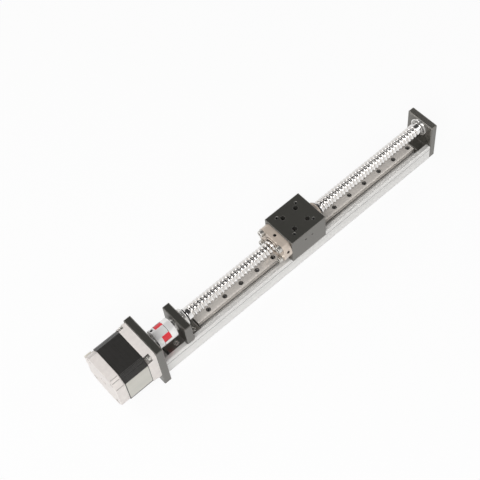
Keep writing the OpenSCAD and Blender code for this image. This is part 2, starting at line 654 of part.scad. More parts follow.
module motor_bearing_balls() color(ball_grey) {
    bearing_balls(MOTOR_BEARING, rear_seat_x, 7);
    bearing_balls(MOTOR_BEARING, front_seat_x, 7);
}

// ---- slider ----

bridge_t = 5;         // slider material under each carriage screw's head
top_thread_r = 1.65;
side_thread_r = 1.25;
module slider_block() color(black_anodised) difference() {
    bevel_box([slider_x0, -slider_w/2, carriage_top], [slider_x1, slider_w/2, slider_top], 0.6);
    x_rod(nut_d/2 + slip, slider_x0 - 1, slider_x1 + 1);
    for (x = [-1, 1], y = [-1, 1]) {
        translate([slider_x + x * bridge_pitch/2, y * bridge_pitch/2, 0]) {
            translate([0, 0, carriage_top - 1]) cylinder(r = M3[0]/2 + 0.2, h = 20);
            translate([0, 0, carriage_top + bridge_t]) cylinder(r = M3[1]/2 + 0.25, h = slider_top);
        }
        translate([slider_x + x * thread_pitch/2, y * thread_pitch/2, 0]) {
            translate([0, 0, slider_top - 11]) cylinder(r = top_thread_r, h = 20);
            translate([0, 0, slider_top - 0.4]) cylinder(r1 = top_thread_r, r2 = top_thread_r + 1, h = 1);
        }
        x_rod(M5[0]/2 + slip, slider_x0 - 1, slider_x0 + 9, y * nut_bolt_y, screw_z + x * nut_bolt_z);
        y_rod(side_thread_r, y * slider_w/2 - 7, y * slider_w/2 + 7,
            slider_x + x * side_hole_pitch/2, side_hole_z);
    }
}

carriage_len = 45.4;
carriage_cap_t = 5.2;
carriage_seal_t = 1;
carriage_body_x = carriage_len/2 - carriage_cap_t - carriage_seal_t;

// The carriage section, straddling the rail with a little room.
module carriage_outline(w, top, gap) polygon([[-w/2 + 0.4, floor_z + 3], [-rail_w/2 - gap, floor_z + 3],
    [-rail_w/2 - gap, rail_top + gap], [rail_w/2 + gap, rail_top + gap], [rail_w/2 + gap, floor_z + 3],
    [w/2 - 0.4, floor_z + 3], [w/2, floor_z + 3.4], [w/2, top - 1.4], [w/2 - 1.4, top],
    [-w/2 + 1.4, top], [-w/2, top - 1.4], [-w/2, floor_z + 3.4]]);

module rail_carriage() color([0.70, 0.70, 0.71]) difference() {
    x_profile(slider_x - carriage_body_x, slider_x + carriage_body_x)
        carriage_outline(27, carriage_top, 0.35);
    for (x = [-1, 1], y = [-1, 1])
        z_rod(M3[0]/2 + slip, carriage_top - 4, carriage_top + 1,
            slider_x + x * bridge_pitch/2, y * bridge_pitch/2);
}

module carriage_end_caps() color([0.12, 0.26, 0.16]) for (side = [0, 1]) mirror_x(side)
    x_profile(carriage_body_x, carriage_body_x + carriage_cap_t)
        carriage_outline(26.6, carriage_top - 0.5, 0.5);

module carriage_seals() color([0.10, 0.10, 0.10]) for (side = [0, 1]) mirror_x(side)
    x_profile(carriage_body_x + carriage_cap_t, carriage_len/2)
        carriage_outline(26.2, carriage_top - 0.8, 0.32);

// Draws its children on the slider's middle, and mirrored about it when side is 1.
module mirror_x(side) translate([slider_x, 0, 0]) mirror([side, 0, 0]) children();

module carriage_screws() color(black_screw) for (x = [-1, 1], y = [-1, 1])
    translate([slider_x + x * bridge_pitch/2, y * bridge_pitch/2, carriage_top + bridge_t])
        cap_screw(M3, 8.6);

// Flange outline: a disc cut by two flats, with round corners that run into both.
flange_fillet = 5.5;
fillet_z = flange_flats/2 - flange_fillet;
fillet_y = sqrt(pow(flange_d/2 - flange_fillet, 2) - pow(fillet_z, 2));
module flange_outline() {
    square([2 * fillet_y, flange_flats], center = true);
    for (y = [-1, 1]) {
        for (z = [-1, 1]) translate([y * fillet_y, z * fillet_z]) circle(flange_fillet);
        intersection() {
            circle(flange_d/2);
            polygon([[0, 0], [y * 30, -30 * fillet_z/fillet_y], [y * 30, 30 * fillet_z/fillet_y]]);
        }
    }
}

nut_tail_r = 10.8;
wiper_r = 11;
tail_wiper_r = 9.6;
wiper_t = 3;
oil_hole_angle = 78;  // of the grease hole in the flange's rim
module ball_nut() color([0.78, 0.74, 0.68]) difference() {
    union() {
        x_profile(flange_x0, slider_x0, screw_z) flange_outline();
        turned([[slider_x0 - 1, 0], [slider_x0 - 1, nut_d/2], [slider_x1 - 0.8, nut_d/2],
            [slider_x1 - 0.3, nut_d/2 - 0.5], [slider_x1 - 0.3, nut_tail_r], [nut_x1 - 0.6, nut_tail_r],
            [nut_x1, nut_tail_r - 0.6], [nut_x1, 0]]);
    }
    x_rod(nut_bore_r, flange_x0 - 1, nut_x1 + 1);
    x_rod(wiper_r, flange_x0 - 1, flange_x0 + wiper_t);
    x_rod(tail_wiper_r, nut_x1 - wiper_t, nut_x1 + 1);
    for (y = [-1, 1], z = [-1, 1])
        x_rod(M5[0]/2 + 0.15, flange_x0 - 1, slider_x0 + 1, y * nut_bolt_y, screw_z + z * nut_bolt_z);
    z_rod(2, screw_z + 12, screw_z + flange_d, flange_x0 + flange_t/2);
    translate([flange_x0 + flange_t/2, 0, screw_z]) rotate([oil_hole_angle, 0, 0])
        cylinder(r = 2, h = flange_d);
}

module nut_screws() color([0.70, 0.70, 0.71]) for (y = [-1, 1], z = [-1, 1])
    head_minus_x(flange_x0, y * nut_bolt_y, screw_z + z * nut_bolt_z) cap_screw(M5, 18);

module nut_wipers() color([0.14, 0.14, 0.14]) {
    ring(screw_d/2 + 0.4, wiper_r, flange_x0, flange_x0 + wiper_t);
    turned([[nut_x1 - wiper_t, screw_d/2 + 0.4], [nut_x1 + 1.5, screw_d/2 + 0.4],
        [nut_x1 + 1.5, tail_wiper_r - 0.6], [nut_x1 + 0.9, tail_wiper_r], [nut_x1 - wiper_t, tail_wiper_r]]);
}

base_extrusion();
guide_rail();
rail_screws();
motor_plate();
motor_plate_screws();
bearing_plate();
bearing_plate_screws();
bearing_collar();
fixed_bearing_outer();
end_plate();
end_plate_screws();
support_bearing_outer();
motor_front_bell();
motor_laminations();
motor_windings();
motor_rear_bell();
motor_through_bolts();
motor_mount_bolts();
motor_bearing_outer();
motor_connector();
ball_screw();
fixed_bearing_inner();
fixed_bearing_balls();
bearing_spacer();
screw_lock_nut();
support_bearing_inner();
support_bearing_balls();
screw_circlip();
coupling_hub_screw();
coupling_spider();
coupling_hub_motor();
coupling_set_screws();
motor_shaft();
motor_rotor();
motor_bearing_inner();
motor_bearing_balls();
slider_block();
rail_carriage();
carriage_end_caps();
carriage_seals();
carriage_screws();
ball_nut();
nut_screws();
nut_wipers();
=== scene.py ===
import json
import math
import bpy
import bmesh
from mathutils import Matrix, Vector


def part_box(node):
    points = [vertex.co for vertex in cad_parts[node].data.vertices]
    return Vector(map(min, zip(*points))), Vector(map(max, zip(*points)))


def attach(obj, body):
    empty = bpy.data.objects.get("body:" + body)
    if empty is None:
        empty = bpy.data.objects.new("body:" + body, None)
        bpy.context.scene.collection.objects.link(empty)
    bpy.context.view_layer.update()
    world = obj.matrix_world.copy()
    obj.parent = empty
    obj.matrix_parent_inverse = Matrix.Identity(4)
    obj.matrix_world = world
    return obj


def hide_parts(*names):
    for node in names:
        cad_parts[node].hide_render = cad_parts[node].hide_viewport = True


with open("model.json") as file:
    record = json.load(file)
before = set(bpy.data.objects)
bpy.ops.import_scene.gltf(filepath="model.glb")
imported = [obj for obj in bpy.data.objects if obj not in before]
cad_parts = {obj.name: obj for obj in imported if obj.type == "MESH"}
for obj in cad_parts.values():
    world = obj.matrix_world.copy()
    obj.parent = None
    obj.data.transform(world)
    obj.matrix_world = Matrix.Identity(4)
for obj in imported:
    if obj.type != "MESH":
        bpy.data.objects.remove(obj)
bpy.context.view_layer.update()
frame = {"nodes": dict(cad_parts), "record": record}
nodes = frame["nodes"]
mm = 0.001
print("frame loaded:", len(nodes), "nodes")


def boxOf(node):
    low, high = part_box(node)
    return Vector(low), Vector(high)


def middleOf(node):
    low, high = boxOf(node)
    return (low + high) / 2


screwAxis = middleOf("ball_screw")      # every turned part shares this line along X
axisY, axisZ = screwAxis.y, screwAxis.z

# camera and light

cameraLook = {"azimuth": -34.19, "elevation": 58.23, "roll": -8.54, "distance": 1.309,
              "target": (-0.0463, 0.0398, 0.030), "lens": 83.31, "sensor": 36.0, "reach": 20}


def addCamera(look):
    a, e, r = (math.radians(look[k]) for k in ("azimuth", "elevation", "roll"))
    back = Vector((math.sin(a) * math.cos(e), -math.cos(a) * math.cos(e), math.sin(e)))
    right = Vector((math.cos(a), math.sin(a), 0))
    up = back.cross(right)
    right, up = right * math.cos(r) + up * math.sin(r), up * math.cos(r) - right * math.sin(r)
    data = bpy.data.cameras.new("viewCamera")
    data.lens, data.sensor_width = look["lens"], look["sensor"]
    data.clip_end = look["reach"]
    camera = bpy.data.objects.new("viewCamera", data)
    bpy.context.collection.objects.link(camera)
    place = Matrix((right, up, back)).transposed().to_4x4()
    place.translation = Vector(look["target"]) + back * look["distance"]
    camera.matrix_world = place
    bpy.context.scene.camera = camera


addCamera(cameraLook)

lampList = [
    # name, place, aimed at, width, height, watts
    ("keySoftbox", (-0.95, -0.70, 1.30), (0, 0, 0), 0.9, 0.9, 17.5),
    ("sideSoftbox", (0.90, -0.90, 0.90), (0.05, 0, 0), 0.7, 0.7, 2.8),
    ("backSoftbox", (-0.80, 0.90, 1.00), (0, 0, 0), 0.7, 0.7, 5),
    ("farSoftbox", (2.0, 0.80, 1.05), (0.1, 0, 0), 1.2, 1.2, 8.5),
]

def addLamp(name, place, aim, width, height, watts):
    data = bpy.data.lights.new(name, "AREA")
    data.shape, data.size, data.size_y, data.energy = "RECTANGLE", width, height, watts
    lamp = bpy.data.objects.new(name, data)
    bpy.context.collection.objects.link(lamp)
    lamp.location = place
    lamp.rotation_euler = (Vector(aim) - Vector(place)).to_track_quat("-Z", "Y").to_euler()


for lampRow in lampList:
    addLamp(*lampRow)

bpy.context.scene.view_settings.view_transform = "Standard"
print("camera and lamps placed")

# node helpers


class Graph:
    # short way to add and join nodes in one tree
    def __init__(self, tree):
        self.tree = tree
        tree.nodes.clear()

    def add(self, kind, **settings):
        node = self.tree.nodes.new(kind)
        for key, value in settings.items():
            setattr(node, key, value)
        return node

    def join(self, source, target):
        self.tree.links.new(source, target)

    def math(self, operation, a, b=None, clamp=False):
        node = self.add("ShaderNodeMath", operation=operation, use_clamp=clamp)
        for socket, value in zip(node.inputs, (a, b)):
            self.feed(socket, value)
        return node.outputs[0]

    def feed(self, socket, value):
        if value is None:
            return
        if isinstance(value, bpy.types.NodeSocket):
            self.join(value, socket)
        else:
            socket.default_value = value

    def noise(self, vector, scale, detail=2.0, rough=0.5):
        node = self.add("ShaderNodeTexNoise")
        self.feed(node.inputs["Vector"], vector)
        node.inputs["Detail"].default_value = detail
        node.inputs["Roughness"].default_value = rough
        self.feed(node.inputs["Scale"], scale)
        return node.outputs["Fac"]

    def remap(self, value, low, high, newLow, newHigh):
        node = self.add("ShaderNodeMapRange")
        for name, number in (("Value", value), ("From Min", low), ("From Max", high),
                             ("To Min", newLow), ("To Max", newHigh)):
            self.feed(node.inputs[name], number)
        return node.outputs["Result"]

    def mix(self, factor, a, b):
        node = self.add("ShaderNodeMix", data_type="RGBA")
        self.feed(node.inputs[0], factor)
        self.feed(node.inputs[6], a)
        self.feed(node.inputs[7], b)
        return node.outputs[2]


# wall is what mirrors and the camera see, fill is what lights the part
roomLook = {"wall": (0.86, 0.85, 0.84), "fill": (0.46, 0.455, 0.45), "ceiling": (0.06, 0.06, 0.06),
            "wallTop": 0.50, "ceilingStart": 0.76}


def makeRoom(look):
    # pale walls that darken towards the ceiling
    world = bpy.data.worlds.new("studio")
    bpy.context.scene.world = world
    world.use_nodes = True
    g = Graph(world.node_tree)
    split = g.add("ShaderNodeSeparateXYZ")
    g.join(g.add("ShaderNodeTexCoord").outputs["Generated"], split.inputs[0])
    height = g.remap(split.outputs["Z"], look["wallTop"], look["ceilingStart"], 0.0, 1.0)
    path = g.add("ShaderNodeLightPath")
    seen = g.math("MAXIMUM", path.outputs["Is Camera Ray"], path.outputs["Is Glossy Ray"])
    walls = g.mix(seen, (*look["fill"], 1), (*look["wall"], 1))
    background = g.add("ShaderNodeBackground")
    g.join(g.mix(height, walls, (*look["ceiling"], 1)), background.inputs["Color"])
    g.join(background.outputs[0], g.add("ShaderNodeOutputWorld").inputs[0])


makeRoom(roomLook)
print("room made")


def newGroup(name, inputs, outputs):
    tree = bpy.data.node_groups.new(name, "ShaderNodeTree")
    graph = Graph(tree)
    for label, kind, value in inputs:
        socket = tree.interface.new_socket(label, in_out="INPUT", socket_type=kind)
        socket.default_value = value
    for label, kind in outputs:
        tree.interface.new_socket(label, in_out="OUTPUT", socket_type=kind)
    return tree, graph, graph.add("NodeGroupInput"), graph.add("NodeGroupOutput")


floatSocket, vectorSocket = "NodeSocketFloat", "NodeSocketVector"


# the cosine between face and rounded edge at which wear starts and is full
edgeLook = {"start": 0.995, "full": 0.90, "breakup": 900.0, "patchLow": 0.35, "patchHigh": 0.65,
            "least": 0.35}


def makeEdgeWear(look):
    # brighter, smoother metal where an edge has been rubbed
    tree, g, inp, out = newGroup("edgeWear", [("Width", floatSocket, 0.0006), ("Amount", floatSocket, 0.5),
                                              ("Breakup", floatSocket, look["breakup"])],
                                 [("Mask", floatSocket)])
    bevel = g.add("ShaderNodeBevel", samples=4)
    g.join(inp.outputs["Width"], bevel.inputs["Radius"])
    geometry = g.add("ShaderNodeNewGeometry")
    dot = g.add("ShaderNodeVectorMath", operation="DOT_PRODUCT")
    g.join(bevel.outputs[0], dot.inputs[0])
    g.join(geometry.outputs["Normal"], dot.inputs[1])
    edge = g.remap(dot.outputs["Value"], look["start"], look["full"], 0.0, 1.0)
    coords = g.add("ShaderNodeTexCoord")
    patches = g.noise(coords.outputs["Object"], inp.outputs["Breakup"], 3)
    broken = g.remap(patches, look["patchLow"], look["patchHigh"], look["least"], 1.0)
    g.join(g.math("MULTIPLY", g.math("MULTIPLY", edge, broken), inp.outputs["Amount"], clamp=True),
           out.inputs["Mask"])
    return tree


def makeSoftEdge():
    # a rounded normal along sharp edges
    tree, g, inp, out = newGroup("softEdge", [("Width", floatSocket, 0.0004)], [("Normal", vectorSocket)])
    bevel = g.add("ShaderNodeBevel", samples=4)
    g.join(inp.outputs["Width"], bevel.inputs["Radius"])
    g.join(bevel.outputs[0], out.inputs["Normal"])
    return tree


grainLook = {"fineDetail": 3, "fineRough": 0.6, "broadShare": 0.06, "broadDetail": 3, "broadRough": 0.55,
             "mottleLow": 0.3, "mottleHigh": 0.7}


def makeGrain(look):
    # even grain of a blasted, cast or moulded skin
    tree, g, inp, out = newGroup("grain", [("Scale", floatSocket, 4000.0), ("Contrast", floatSocket, 1.0)],
                                 [("Height", floatSocket), ("Mottle", floatSocket)])
    coords = g.add("ShaderNodeTexCoord").outputs["Object"]
    fine = g.noise(coords, inp.outputs["Scale"], look["fineDetail"], look["fineRough"])
    broadScale = g.math("MULTIPLY", inp.outputs["Scale"], look["broadShare"])
    broad = g.noise(coords, broadScale, look["broadDetail"], look["broadRough"])
    g.join(g.math("MULTIPLY", fine, inp.outputs["Contrast"]), out.inputs["Height"])
    g.join(g.remap(broad, look["mottleLow"], look["mottleHigh"], 0.0, 1.0), out.inputs["Mottle"])
    return tree


lineLook = {"detail": 4, "rough": 0.62, "broadShare": 0.12, "broadDetail": 3, "streakLow": 0.3,
            "streakHigh": 0.7}


def makeDrawLines(look):
    # fine lines left by drawing, grinding or turning: Stretch squeezes the noise across them
    tree, g, inp, out = newGroup("drawLines", [("Stretch", vectorSocket, (20.0, 2500.0, 2500.0)),
                                               ("Contrast", floatSocket, 1.0)],
                                 [("Height", floatSocket), ("Streak", floatSocket)])
    coords = g.add("ShaderNodeTexCoord").outputs["Object"]
    squeeze = g.add("ShaderNodeVectorMath", operation="MULTIPLY")
    g.join(coords, squeeze.inputs[0])
    g.join(inp.outputs["Stretch"], squeeze.inputs[1])
    lines = g.noise(squeeze.outputs[0], 1.0, look["detail"], look["rough"])
    broad = g.add("ShaderNodeVectorMath", operation="SCALE")
    g.join(squeeze.outputs[0], broad.inputs[0])
    broad.inputs["Scale"].default_value = look["broadShare"]
    g.join(g.math("MULTIPLY", lines, inp.outputs["Contrast"]), out.inputs["Height"])
    streaks = g.noise(broad.outputs[0], 1.0, look["broadDetail"])
    g.join(g.remap(streaks, look["streakLow"], look["streakHigh"], 0.0, 1.0), out.inputs["Streak"])
    return tree


# scale, detail and roughness of the noise, then the two values between which it fades in
dustLook = {"specks": (2600.0, 2, 0.7), "speckFade": (0.70, 0.78), "film": (45.0, 4, 0.6),
            "filmFade": (0.35, 0.75)}


def makeDust(look):
    # sparse specks and a faint handling film
    tree, g, inp, out = newGroup("dust", [("Amount", floatSocket, 0.3)],
                                 [("Mask", floatSocket), ("Film", floatSocket)])
    coords = g.add("ShaderNodeTexCoord").outputs["Object"]
    specks = g.remap(g.noise(coords, *look["specks"]), *look["speckFade"], 0.0, 1.0)
    film = g.remap(g.noise(coords, *look["film"]), *look["filmFade"], 0.0, 1.0)
    g.join(g.math("MULTIPLY", specks, inp.outputs["Amount"], clamp=True), out.inputs["Mask"])
    g.join(g.math("MULTIPLY", film, inp.outputs["Amount"], clamp=True), out.inputs["Film"])
    return tree


def makePaintedShade():
    # painted shade: darker where faces meet, inside holes and in narrow gaps, masked by ambient occlusion
    tree, g, inp, out = newGroup("crevice", [("Reach", floatSocket, 0.003), ("Amount", floatSocket, 0.6),
                                             ("Shut", floatSocket, 0.15), ("Open", floatSocket, 0.85)],
                                 [("Mask", floatSocket)])
    shade = g.add("ShaderNodeAmbientOcclusion", samples=6)
    g.join(inp.outputs["Reach"], shade.inputs["Distance"])
    closed = g.remap(shade.outputs["AO"], inp.outputs["Shut"], inp.outputs["Open"], 1.0, 0.0)
    g.join(g.math("MULTIPLY", closed, inp.outputs["Amount"], clamp=True), out.inputs["Mask"])
    return tree


effects = {"edgeWear": makeEdgeWear(edgeLook), "softEdge": makeSoftEdge(), "grain": makeGrain(grainLook),
           "drawLines": makeDrawLines(lineLook), "dust": makeDust(dustLook), "crevice": makePaintedShade()}
print("effect groups built")

# materials


def useEffect(g, name, **values):
    node = g.add("ShaderNodeGroup", node_tree=effects[name])
    for label, value in values.items():
        node.inputs[label].default_value = value
    return node


def baseMaterial(name, metallic, ior=1.5, tint=(1.0, 1.0, 1.0)):
    material = bpy.data.materials.new(name)
    material.use_nodes = True
    g = Graph(material.node_tree)
    shader = g.add("ShaderNodeBsdfPrincipled")
    g.join(shader.outputs[0], g.add("ShaderNodeOutputMaterial").inputs[0])
    shader.inputs["Metallic"].default_value = metallic
    shader.inputs["IOR"].default_value = ior
    shader.inputs["Specular Tint"].default_value = (*tint, 1)
    return material, g, shader


# dust colour, and the near-black colour of the painted shade in crevices, holes and gaps
dustColour, creviceColour = (0.62, 0.60, 0.56), (0.02, 0.019, 0.018)
wearSpread = 1.6        # worn band against the rounding of the edge
creviceDull = 0.4       # roughness added where the painted shade mask is full


def finishMaterial(g, shader, colour, wornColour, roughness, bump, height, edgeWidth=0.0004, wear=0.4,
                   wornRoughness=0.25, dust=0.15, crevice=0.55, reach=0.003, shut=0.15, openness=0.85):
    # colour and height come in as sockets, and edges, dust, the painted shade in crevices and bump work the
    # same way in every finish
    worn = useEffect(g, "edgeWear", Width=edgeWidth * wearSpread, Amount=wear)
    soft = useEffect(g, "softEdge", Width=edgeWidth)
    specks = useEffect(g, "dust", Amount=dust)
    shade = useEffect(g, "crevice", Amount=crevice, Reach=reach, Shut=shut, Open=openness)
    withWear = g.mix(worn.outputs["Mask"], colour, (*wornColour, 1))
    withDust = g.mix(specks.outputs["Mask"], withWear, (*dustColour, 1))
    # painted shade: the near-black colour goes into the base colour where faces meet and inside holes
    g.join(g.mix(shade.outputs["Mask"], withDust, (*creviceColour, 1)), shader.inputs["Base Color"])
    rough = g.remap(specks.outputs["Film"], 0.0, 1.0, roughness[0], roughness[1])
    mixed = g.add("ShaderNodeMix", data_type="FLOAT")
    g.feed(mixed.inputs[0], worn.outputs["Mask"])
    g.feed(mixed.inputs[2], rough)
    g.feed(mixed.inputs[3], wornRoughness)
    dull = g.math("MULTIPLY", shade.outputs["Mask"], creviceDull)
    g.join(g.math("ADD", mixed.outputs[0], dull, clamp=True), shader.inputs["Roughness"])
    node = g.add("ShaderNodeBump")
    node.inputs["Strength"].default_value = bump[0]
    node.inputs["Distance"].default_value = bump[1]
    g.join(height, node.inputs["Height"])
    g.join(soft.outputs["Normal"], node.inputs["Normal"])
    g.join(node.outputs[0], shader.inputs["Normal"])


def grainMaterial(name, colours, metallic, roughness, scale, bump, worn, ior=1.5, tint=(1.0, 1.0, 1.0),
                  **extra):
    # blasted, cast, painted and moulded finishes
    material, g, shader = baseMaterial(name, metallic, ior, tint)
    grain = useEffect(g, "grain", Scale=scale)
    colour = g.mix(grain.outputs["Mottle"], (*colours[0], 1), (*colours[1], 1))
    finishMaterial(g, shader, colour, worn, roughness, bump, grain.outputs["Height"], **extra)
    return material


def lineMaterial(name, colours, metallic, roughness, stretch, bump, worn, **extra):
    # drawn, ground and turned finishes
    material, g, shader = baseMaterial(name, metallic)
    lines = useEffect(g, "drawLines", Stretch=stretch)
    colour = g.mix(lines.outputs["Streak"], (*colours[0], 1), (*colours[1], 1))
    finishMaterial(g, shader, colour, worn, roughness, bump, lines.outputs["Height"], **extra)
    return material


alongX, aroundX = (25.0, 2200.0, 2200.0), (2600.0, 60.0, 60.0)
# two colours, metallic, least and most roughness, grain scale or line stretch,
# strength and distance of the bump, worn colour
# extra keywords set wear, dust and the painted shade in corners, holes and gaps: its amount, how far it
# reaches and the occlusion at which it starts and is full
finishes = {
    "clearAnodised": lineMaterial("clearAnodised", [(0.82, 0.81, 0.79), (0.74, 0.73, 0.71)], 0.3,
                                  (0.32, 0.42), alongX, (0.10, 0.00008), (0.95, 0.94, 0.92), wear=0.6,
                                  crevice=0.9, reach=0.0016, shut=0.60, openness=0.97),
    "blackAnodised": grainMaterial("blackAnodised", [(0.009, 0.010, 0.008), (0.015, 0.016, 0.013)], 0.0,
                                   (0.34, 0.42), 5200.0, (0.15, 0.00008), (0.34, 0.34, 0.33), ior=2.35,
                                   tint=(1.0, 0.95, 0.88), wear=0.6, crevice=0.9, reach=0.006, openness=0.9),
    "railSteel": lineMaterial("railSteel", [(0.82, 0.775, 0.725), (0.74, 0.70, 0.655)], 0.35, (0.12, 0.18),
                              alongX, (0.12, 0.00005), (0.66, 0.63, 0.60), crevice=0.6, reach=0.008),
    "carriageSteel": lineMaterial("carriageSteel", [(0.56, 0.55, 0.53), (0.48, 0.47, 0.46)], 0.6,
                                  (0.28, 0.38), alongX, (0.12, 0.00005), (0.8, 0.8, 0.8)),
    "carriagePlastic": grainMaterial("carriagePlastic", [(0.020, 0.075, 0.040), (0.030, 0.095, 0.052)], 0.0,
                                     (0.40, 0.52), 3000.0, (0.15, 0.0001), (0.08, 0.18, 0.11)),
    "sealRubber": grainMaterial("sealRubber", [(0.018, 0.018, 0.018), (0.028, 0.028, 0.027)], 0.0,
                                (0.55, 0.7), 2600.0, (0.2, 0.0001), (0.06, 0.06, 0.06)),
    "groundSteel": lineMaterial("groundSteel", [(0.86, 0.855, 0.85), (0.76, 0.755, 0.75)], 1.0, (0.16, 0.24),
                                aroundX, (0.05, 0.00003), (0.92, 0.92, 0.93), dust=0.1),
    "bearingSteel": lineMaterial("bearingSteel", [(0.82, 0.81, 0.79), (0.72, 0.71, 0.69)], 0.8, (0.16, 0.24),
                                 aroundX, (0.08, 0.00004), (0.95, 0.95, 0.95), crevice=0.3),
    "blackScrews": grainMaterial("blackScrews", [(0.030, 0.030, 0.032), (0.050, 0.050, 0.052)], 0.5,
                                 (0.30, 0.42), 5000.0, (0.1, 0.00005), (0.30, 0.30, 0.30), wear=0.6),
    "zincScrews": grainMaterial("zincScrews", [(0.66, 0.64, 0.60), (0.56, 0.54, 0.51)], 0.8,
                                (0.22, 0.34), 5000.0, (0.1, 0.00005), (0.85, 0.85, 0.84)),
    "railScrews": grainMaterial("railScrews", [(0.26, 0.25, 0.24), (0.20, 0.195, 0.19)], 0.8,
                                (0.26, 0.36), 5000.0, (0.1, 0.00005), (0.60, 0.59, 0.57), crevice=0.9,
                                reach=0.005),
    "nutSteel": lineMaterial("nutSteel", [(0.72, 0.62, 0.53), (0.64, 0.55, 0.47)], 0.3, (0.28, 0.38),
                             (1500.0, 400.0, 400.0), (0.10, 0.00005), (0.85, 0.77, 0.68), wear=0.5,
                             crevice=1.0, reach=0.009, openness=0.85),
    "couplingAluminium": lineMaterial("couplingAluminium", [(0.97, 0.96, 0.95), (0.92, 0.91, 0.90)], 0.3,
                                      (0.14, 0.22), aroundX, (0.08, 0.00004), (0.98, 0.98, 0.98),
                                      crevice=1.0, openness=1.0),
    "spiderRed": grainMaterial("spiderRed", [(0.86, 0.040, 0.055), (0.78, 0.028, 0.042)], 0.0,
                               (0.32, 0.42), 1800.0, (0.12, 0.0001), (0.85, 0.10, 0.12)),
    "motorCast": grainMaterial("motorCast", [(0.84, 0.79, 0.755), (0.77, 0.72, 0.69)], 0.1,
                               (0.42, 0.54), 3400.0, (0.28, 0.00012), (0.88, 0.85, 0.82), wear=0.5),
    "rotorSteel": lineMaterial("rotorSteel", [(0.40, 0.40, 0.41), (0.30, 0.30, 0.31)], 1.0, (0.3, 0.4),
                               aroundX, (0.1, 0.00005), (0.6, 0.6, 0.6)),
    "copper": lineMaterial("copper", [(0.62, 0.26, 0.10), (0.50, 0.20, 0.08)], 1.0, (0.25, 0.35),
                           alongX, (0.4, 0.0001), (0.8, 0.4, 0.2)),
    "connectorPlastic": grainMaterial("connectorPlastic", [(0.78, 0.75, 0.66), (0.72, 0.69, 0.60)], 0.0,
                                      (0.38, 0.5), 2400.0, (0.1, 0.0001), (0.85, 0.83, 0.76)),
    "labelSilver": lineMaterial("labelSilver", [(0.62, 0.605, 0.55), (0.57, 0.555, 0.505)], 0.1,
                                (0.38, 0.48), alongX, (0.05, 0.00004), (0.80, 0.79, 0.75)),
    "tappedHole": lineMaterial("tappedHole", [(0.05, 0.05, 0.05), (0.03, 0.03, 0.03)], 0.0, (0.8, 0.95),
                               (400.0, 400.0, 2500.0), (0.1, 0.00004), (0.12, 0.12, 0.12), crevice=1.0),
}


def laminationMaterial(look):
    # black paint over stacked sheets: the edge of each sheet shows as a fine step
    material, g, shader = baseMaterial("laminations", 0.0)
    coords = g.add("ShaderNodeTexCoord").outputs["Object"]
    split = g.add("ShaderNodeSeparateXYZ")
    g.join(coords, split.inputs[0])
    sheet = g.math("MULTIPLY", split.outputs["X"], 1.0 / look["sheet"])
    wave = g.math("ABSOLUTE", g.math("SUBTRACT", g.math("FRACT", sheet), 0.5))
    joint = g.remap(wave, look["jointStart"], 0.5, 0.0, 1.0)
    random = g.add("ShaderNodeTexWhiteNoise", noise_dimensions="1D")
    g.join(g.math("FLOOR", sheet), random.inputs["W"])
    tone = g.remap(random.outputs["Value"], 0.0, 1.0, 0.0, look["toneSpread"])
    grain = useEffect(g, "grain", Scale=look["grain"])
    paint = g.mix(g.math("MAXIMUM", tone, g.math("MULTIPLY", grain.outputs["Mottle"], look["mottle"])),
                  (*look["dark"], 1), (*look["light"], 1))
    height = g.math("SUBTRACT", g.math("MULTIPLY", grain.outputs["Height"], look["grainHeight"]), joint)
    finishMaterial(g, shader, paint, look["worn"], look["roughness"], look["bump"], height)
    return material


laminationLook = {"sheet": 0.5 * mm, "jointStart": 0.40, "toneSpread": 0.6, "mottle": 0.5, "grain": 4200.0,
                  "grainHeight": 0.3, "dark": (0.014, 0.013, 0.012), "light": (0.030, 0.028, 0.026),
                  "worn": (0.25, 0.24, 0.23), "roughness": (0.36, 0.46), "bump": (0.35, 0.00006)}
finishes["laminations"] = laminationMaterial(laminationLook)


def screwMaterial(look):
    # ground lands, darker in the ball track
    material, g, shader = baseMaterial("screwSteel", 1.0)
    arm = g.add("ShaderNodeVectorMath", operation="MULTIPLY_ADD")
    g.join(g.add("ShaderNodeTexCoord").outputs["Object"], arm.inputs[0])
    arm.inputs[1].default_value = (0, 1, 1)
    arm.inputs[2].default_value = (0, -axisY, -axisZ)
    length = g.add("ShaderNodeVectorMath", operation="LENGTH")
    g.join(arm.outputs[0], length.inputs[0])
    radius = length.outputs["Value"]
    inTrack = g.math("MULTIPLY", g.remap(radius, look["trackTop"], look["trackBottom"], 0.0, 1.0),
                     g.math("GREATER_THAN", radius, look["journal"]))
    lines = useEffect(g, "drawLines", Stretch=aroundX)
    ground = g.mix(lines.outputs["Streak"], (*look["land"], 1), (*look["landLow"], 1))
    colour = g.mix(inTrack, ground, (*look["track"], 1))
    finishMaterial(g, shader, colour, look["worn"], look["roughness"], look["bump"],
                   lines.outputs["Height"], dust=look["dust"])
    return material


# radii between which the track's colour comes in, and the radius below which there is no track
screwFinish = {"trackTop": 7.95 * mm, "trackBottom": 7.1 * mm, "journal": 6.0 * mm,
               "land": (0.90, 0.89, 0.88), "landLow": (0.80, 0.79, 0.78), "track": (0.74, 0.71, 0.68),
               "worn": (0.95, 0.95, 0.95), "roughness": (0.14, 0.22), "bump": (0.05, 0.00003), "dust": 0.1}
finishes["screwSteel"] = screwMaterial(screwFinish)

